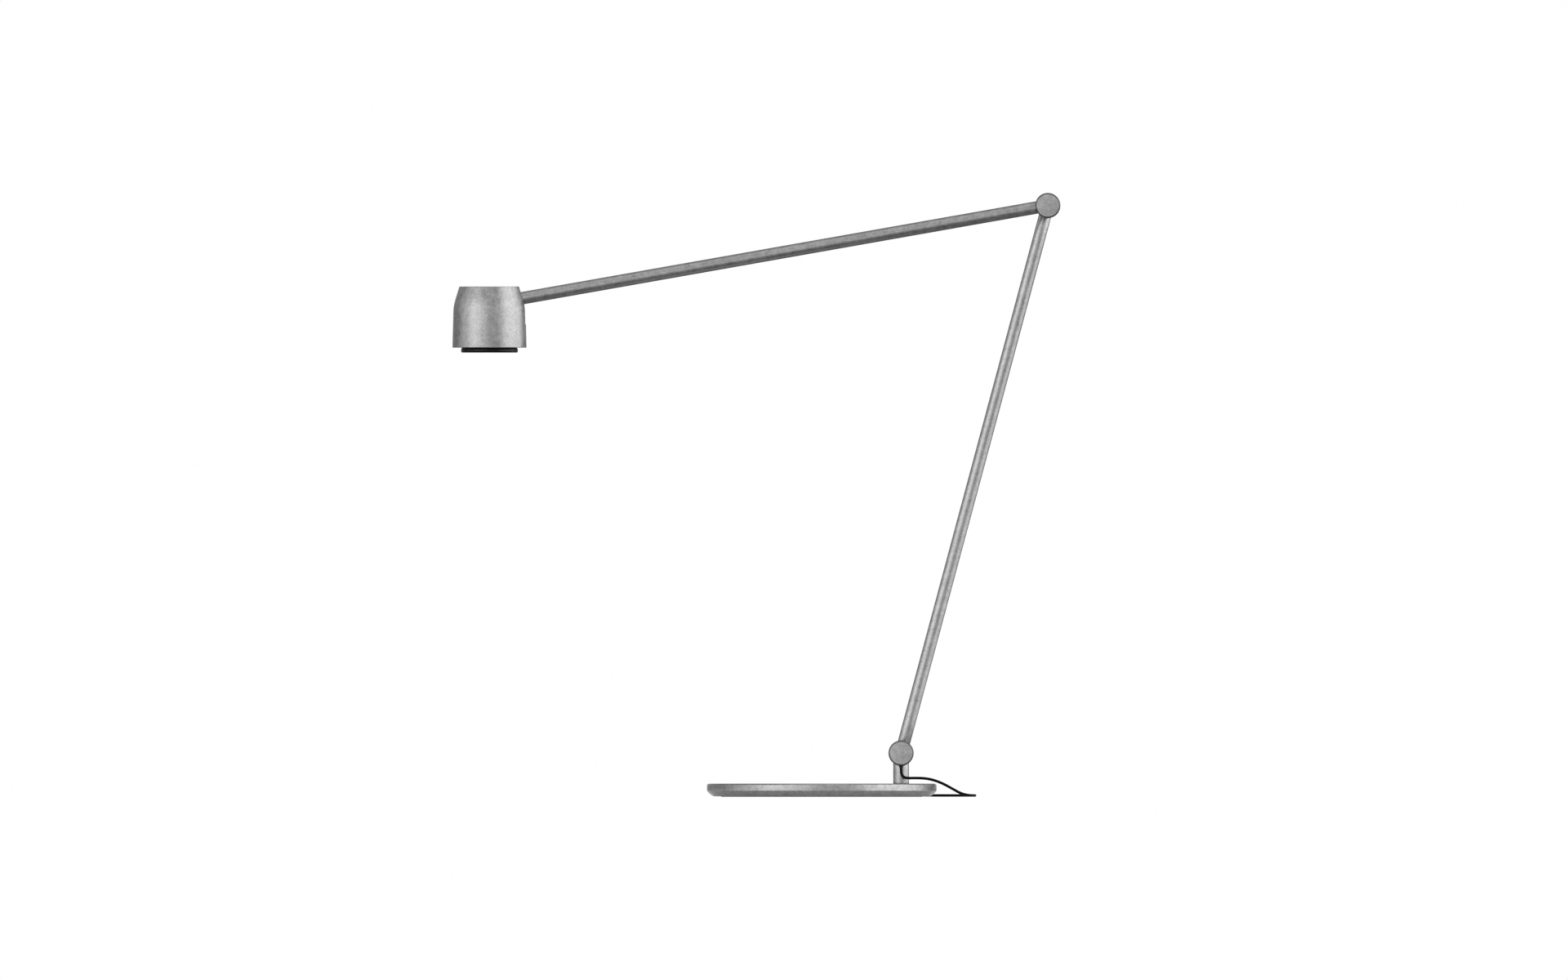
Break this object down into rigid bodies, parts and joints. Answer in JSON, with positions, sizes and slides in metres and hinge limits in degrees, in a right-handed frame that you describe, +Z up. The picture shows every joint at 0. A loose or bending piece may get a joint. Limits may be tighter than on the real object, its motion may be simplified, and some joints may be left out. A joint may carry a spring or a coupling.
{
  "type": "desk lamp",
  "caption": "Two-arm desk lamp: round weighted base, short post, tube arms on drum friction hinges, tilting round head with a dimmer ring, low-voltage cord.",
  "frame": {"origin": "middle of the underside of the base", "axes": "+Z up, +X from the base's middle towards the post, -X towards the head, -Y the side of the upper arm and head"},
  "size_m": [0.577, 0.251, 0.5732],
  "materials": {
    "raw_aluminium": "tumbled, satin",
    "machined_aluminium": "machined",
    "steel": "zinc plated",
    "blackened_steel": "blackened",
    "black_rubber": "matt",
    "black_plastic": "satin gloss",
    "cord_sheath": "satin",
    "friction_plastic": "plain",
    "circuit_board": "solder resist",
    "light_board_white": "white solder resist",
    "emitter": "phosphor",
    "reflector_white": "gloss white",
    "diffuser": "frosted acrylic",
    "plated_brass": "nickel plated",
    "driver_black": "plain"
  },
  "bodies": {
    "base": {"base_shell": "raw_aluminium", "base_weight": "steel", "base_screws": "steel", "base_pad": "black_rubber", "post": "raw_aluminium", "post_bolt": "steel", "post_washer": "steel", "post_dowel": "steel", "lower_front_knuckle": "raw_aluminium", "lower_front_cap": "raw_aluminium", "lower_axle": "steel", "lower_axle_nut": "steel", "lower_disc_spring": "steel", "lower_friction_washer": "friction_plastic", "cord_gland": "black_rubber", "cord_stop": "steel", "cord_inner_end": "cord_sheath", "cord_tail": "cord_sheath", "cord": "cord_sheath", "cord_coil": "cord_sheath", "cord_end": "cord_sheath", "cord_tie": "black_rubber", "plug_housing": "black_plastic", "plug_barrel": "plated_brass", "plug_insulator": "black_plastic"},
    "lower_arm": {"lower_rear_knuckle": "raw_aluminium", "lower_rear_cap": "raw_aluminium", "lower_arm_tube": "raw_aluminium", "lower_arm_set_screws": "blackened_steel", "lower_arm_lead": "cord_sheath", "elbow_rear_knuckle": "raw_aluminium", "elbow_rear_cap": "raw_aluminium"},
    "upper_arm": {"elbow_front_knuckle": "raw_aluminium", "elbow_front_cap": "raw_aluminium", "elbow_axle": "steel", "elbow_axle_nut": "steel", "elbow_disc_spring": "steel", "elbow_friction_washer": "friction_plastic", "upper_arm_tube": "raw_aluminium", "upper_arm_set_screw": "blackened_steel", "upper_arm_lead": "cord_sheath", "head_eye": "machined_aluminium"},
    "head": {"head_shell": "raw_aluminium", "pivot_yoke": "steel", "yoke_screws": "steel", "pivot_bolt": "steel", "pivot_nut": "steel", "pivot_washers": "steel", "heat_sink": "machined_aluminium", "bottom_plate": "machined_aluminium", "plate_screws": "blackened_steel", "light_board": "light_board_white", "light_chips": "emitter", "reflector": "reflector_white", "lens": "diffuser", "driver_board": "circuit_board", "driver_parts": "driver_black", "head_lead": "cord_sheath"},
    "dimmer": {"dimmer_ring": "black_plastic", "ring_retainer": "steel"}
  },
  "joints": [
    {"name": "lower_hinge", "type": "hinge", "parent": "base", "child": "lower_arm", "pos_m": [0.0753, 0, 0.0415], "axis": [0, 1, 0], "range_deg": [-45, 30]},
    {"name": "elbow_hinge", "type": "hinge", "parent": "lower_arm", "child": "upper_arm", "pos_m": [0.21455, 0, 0.56117], "axis": [0, 1, 0], "range_deg": [-30, 90]},
    {"name": "head_tilt", "type": "hinge", "parent": "upper_arm", "child": "head", "pos_m": [-0.31528, -0.0077, 0.46775], "axis": [0, 1, 0], "range_deg": [-30, 25]},
    {"name": "dimmer_turn", "type": "hinge", "parent": "head", "child": "dimmer", "pos_m": [-0.31528, -0.0077, 0.42374], "axis": [0, 0, 1], "range_deg": [0, 270]}
  ]
}
